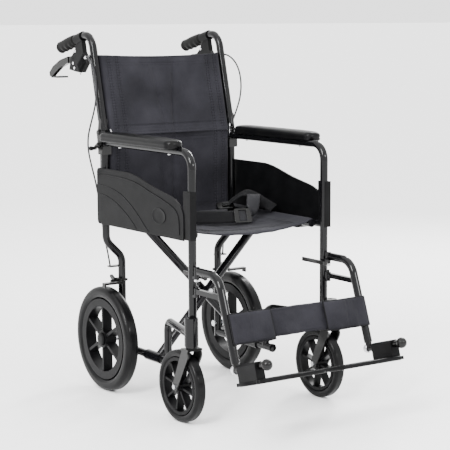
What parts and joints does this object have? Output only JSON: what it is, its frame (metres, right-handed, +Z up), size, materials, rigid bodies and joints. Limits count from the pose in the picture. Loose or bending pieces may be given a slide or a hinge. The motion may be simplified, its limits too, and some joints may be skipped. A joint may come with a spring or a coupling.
{
  "type": "manual wheelchair",
  "caption": "Folding transit wheelchair in dark grey tube with cross brace, half-folding back, solid tyres, push handles with brakes, padded armrests and swing-away footrests.",
  "frame": {"origin": "on the floor, midway between the two side frames and 270 mm ahead of the rear axles", "axes": "+Z up; the chair faces -Y, so its push handles are at +Y; +X is the sitter's left"},
  "size_m": [0.542, 1.1195, 1.0367],
  "materials": {
    "frame_tube": "gloss dark charcoal lacquer",
    "brace_tube": "gloss black lacquer",
    "bright_steel": "zinc-plated, satin",
    "black_hardware": "black zinc",
    "rubber_grip": "matt",
    "pad_foam": "skinned foam, satin",
    "tyre_grey": "smooth, satin",
    "wheel_plastic": "satin black",
    "black_plastic": "fine grain",
    "gloss_plastic": "gloss black",
    "nylon": "woven nylon, dark grey",
    "seat_nylon": "woven nylon, grey",
    "webbing": "black webbing",
    "cable_jacket": "black PVC jacket"
  },
  "bodies": {
    "right_frame": {"right_front_frame": "frame_tube", "right_rear_frame": "frame_tube", "right_lower_frame": "frame_tube", "right_seat_tube": "frame_tube", "right_rail_saddles": "black_plastic", "right_rear_axle": "bright_steel", "right_cane_hinge": "black_hardware", "right_arm_pad": "pad_foam", "right_side_panel": "black_plastic", "right_brake_cable": "cable_jacket", "back_lower": "nylon", "lap_belt": "webbing"},
    "front_brace": {"front_brace": "brace_tube", "brace_bolt": "bright_steel", "seat_sling": "seat_nylon"},
    "rear_brace": {"rear_brace": "brace_tube"},
    "left_frame": {"left_front_frame": "frame_tube", "left_rear_frame": "frame_tube", "left_lower_frame": "frame_tube", "left_seat_tube": "frame_tube", "left_rail_saddles": "black_plastic", "left_rear_axle": "bright_steel", "left_cane_hinge": "black_hardware", "left_arm_pad": "pad_foam", "left_side_panel": "black_plastic", "left_brake_cable": "cable_jacket"},
    "right_cane": {"right_cane": "frame_tube", "right_hand_grip": "rubber_grip", "right_brake_bracket": "black_plastic", "back_upper": "nylon"},
    "right_back_release": {"right_back_release": "black_hardware"},
    "right_brake_lever": {"right_brake_lever": "black_plastic"},
    "right_tyre_brake": {"right_tyre_brake": "black_hardware"},
    "right_rear_wheel": {"right_rear_wheel": "wheel_plastic", "right_rear_tyre": "tyre_grey"},
    "right_caster_fork": {"right_caster_fork": "black_hardware", "right_caster_axle": "bright_steel"},
    "right_caster_wheel": {"right_caster_wheel": "wheel_plastic", "right_caster_tyre": "tyre_grey"},
    "right_hanger": {"right_hanger": "frame_tube", "calf_strap": "nylon"},
    "right_hanger_latch": {"right_hanger_latch": "black_hardware"},
    "right_footrest_tube": {"right_footrest_tube": "frame_tube"},
    "right_footplate": {"right_footplate": "black_plastic"},
    "left_cane": {"left_cane": "frame_tube", "left_hand_grip": "rubber_grip", "left_brake_bracket": "black_plastic"},
    "left_back_release": {"left_back_release": "black_hardware"},
    "left_brake_lever": {"left_brake_lever": "black_plastic"},
    "left_tyre_brake": {"left_tyre_brake": "black_hardware"},
    "left_rear_wheel": {"left_rear_wheel": "wheel_plastic", "left_rear_tyre": "tyre_grey"},
    "left_caster_fork": {"left_caster_fork": "black_hardware", "left_caster_axle": "bright_steel"},
    "left_caster_wheel": {"left_caster_wheel": "wheel_plastic", "left_caster_tyre": "tyre_grey"},
    "left_hanger": {"left_hanger": "frame_tube"},
    "left_hanger_latch": {"left_hanger_latch": "black_hardware"},
    "left_footrest_tube": {"left_footrest_tube": "frame_tube"},
    "left_footplate": {"left_footplate": "black_plastic"}
  },
  "joints": [
    {"name": "fold", "type": "hinge", "parent": "right_frame", "child": "front_brace", "pos_m": [-0.168, 0.088, 0.124], "axis": [0, -1, 0], "range_deg": [0, 28], "deforming": ["seat_sling", "back_lower", "back_upper", "calf_strap", "lap_belt"]},
    {"name": "brace_cross", "type": "hinge", "parent": "front_brace", "child": "rear_brace", "pos_m": [0, 0.088, 0.29892], "axis": [0, -1, 0], "range_deg": [-56, 0]},
    {"name": "left_frame_fold", "type": "hinge", "parent": "rear_brace", "child": "left_frame", "pos_m": [0.168, 0.088, 0.124], "axis": [0, -1, 0], "range_deg": [0, 28]},
    {"name": "back_fold", "type": "hinge", "parent": "right_frame", "child": "right_cane", "pos_m": [-0.219, 0.282, 0.75], "axis": [-1, 0, 0], "range_deg": [0, 110], "deforming": ["right_brake_cable"]},
    {"name": "right_back_release_press", "type": "hinge", "parent": "right_frame", "child": "right_back_release", "pos_m": [-0.238, 0.268, 0.719], "axis": [-1, 0, 0], "range_deg": [0, 20], "stiffness_Nm_per_rad": 0.5, "springref_deg": -11.46},
    {"name": "right_brake_squeeze", "type": "hinge", "parent": "right_cane", "child": "right_brake_lever", "pos_m": [-0.219, 0.44, 0.957], "axis": [1, 0, 0], "range_deg": [0, 12], "stiffness_Nm_per_rad": 1.5, "springref_deg": -14.32},
    {"name": "right_tyre_brake_press", "type": "hinge", "parent": "right_frame", "child": "right_tyre_brake", "pos_m": [-0.19, 0.27, 0.319], "axis": [1, 0, 0], "range_deg": [0, 22]},
    {"name": "right_rear_wheel_spin", "type": "hinge", "parent": "right_frame", "child": "right_rear_wheel", "pos_m": [-0.221, 0.27, 0.152], "axis": [1, 0, 0], "continuous": true},
    {"name": "right_caster_swivel", "type": "hinge", "parent": "right_frame", "child": "right_caster_fork", "pos_m": [-0.233, -0.198, 0.098], "axis": [0, 0, 1], "continuous": true},
    {"name": "right_caster_spin", "type": "hinge", "parent": "right_caster_fork", "child": "right_caster_wheel", "pos_m": [-0.233, -0.15, 0.098], "axis": [1, 0, 0], "continuous": true},
    {"name": "right_hanger_swing", "type": "hinge", "parent": "right_frame", "child": "right_hanger", "pos_m": [-0.219, -0.205, 0.385], "axis": [0, 0, -1], "range_deg": [0, 90]},
    {"name": "right_hanger_latch_press", "type": "hinge", "parent": "right_hanger", "child": "right_hanger_latch", "pos_m": [-0.2, -0.216, 0.401], "axis": [0, 0, -1], "range_deg": [0, 20], "stiffness_Nm_per_rad": 0.6, "springref_deg": -8.59},
    {"name": "right_footrest_slide", "type": "slide", "parent": "right_hanger", "child": "right_footrest_tube", "axis": [0, -0.3387, -0.9409], "range_m": [0, 0.05]},
    {"name": "right_footplate_flip", "type": "hinge", "parent": "right_footrest_tube", "child": "right_footplate", "pos_m": [-0.219, -0.376, 0.1813], "axis": [0, -0.9593, 0.2823], "range_deg": [0, 95.2]},
    {"name": "left_back_fold", "type": "hinge", "parent": "left_frame", "child": "left_cane", "pos_m": [0.219, 0.282, 0.75], "axis": [-1, 0, 0], "range_deg": [0, 110], "deforming": ["left_brake_cable"]},
    {"name": "left_back_release_press", "type": "hinge", "parent": "left_frame", "child": "left_back_release", "pos_m": [0.238, 0.268, 0.719], "axis": [-1, 0, 0], "range_deg": [0, 20], "stiffness_Nm_per_rad": 0.5, "springref_deg": -11.46},
    {"name": "left_brake_squeeze", "type": "hinge", "parent": "left_cane", "child": "left_brake_lever", "pos_m": [0.219, 0.44, 0.957], "axis": [1, 0, 0], "range_deg": [0, 12], "stiffness_Nm_per_rad": 1.5, "springref_deg": -14.32},
    {"name": "left_tyre_brake_press", "type": "hinge", "parent": "left_frame", "child": "left_tyre_brake", "pos_m": [0.19, 0.27, 0.319], "axis": [1, 0, 0], "range_deg": [0, 22]},
    {"name": "left_rear_wheel_spin", "type": "hinge", "parent": "left_frame", "child": "left_rear_wheel", "pos_m": [0.221, 0.27, 0.152], "axis": [1, 0, 0], "continuous": true},
    {"name": "left_caster_swivel", "type": "hinge", "parent": "left_frame", "child": "left_caster_fork", "pos_m": [0.233, -0.198, 0.098], "axis": [0, 0, 1], "continuous": true},
    {"name": "left_caster_spin", "type": "hinge", "parent": "left_caster_fork", "child": "left_caster_wheel", "pos_m": [0.233, -0.15, 0.098], "axis": [1, 0, 0], "continuous": true},
    {"name": "left_hanger_swing", "type": "hinge", "parent": "left_frame", "child": "left_hanger", "pos_m": [0.219, -0.205, 0.385], "axis": [0, 0, 1], "range_deg": [0, 90]},
    {"name": "left_hanger_latch_press", "type": "hinge", "parent": "left_hanger", "child": "left_hanger_latch", "pos_m": [0.2, -0.216, 0.401], "axis": [0, 0, 1], "range_deg": [0, 20], "stiffness_Nm_per_rad": 0.6, "springref_deg": -8.59},
    {"name": "left_footrest_slide", "type": "slide", "parent": "left_hanger", "child": "left_footrest_tube", "axis": [0, -0.3387, -0.9409], "range_m": [0, 0.05]},
    {"name": "left_footplate_flip", "type": "hinge", "parent": "left_footrest_tube", "child": "left_footplate", "pos_m": [0.219, -0.376, 0.1813], "axis": [0, 0.9593, -0.2823], "range_deg": [0, 95.2]}
  ],
  "couplings": [
    {"joint": "brace_cross", "follows": "fold", "ratio": -2},
    {"joint": "left_frame_fold", "follows": "fold", "ratio": 1},
    {"joint": "right_tyre_brake_press", "follows": "right_brake_squeeze", "ratio": 1.8333},
    {"joint": "right_footplate_flip", "follows": "fold", "ratio": 3.4},
    {"joint": "left_back_fold", "follows": "back_fold", "ratio": 1},
    {"joint": "left_tyre_brake_press", "follows": "left_brake_squeeze", "ratio": 1.8333},
    {"joint": "left_footplate_flip", "follows": "fold", "ratio": 3.4}
  ]
}
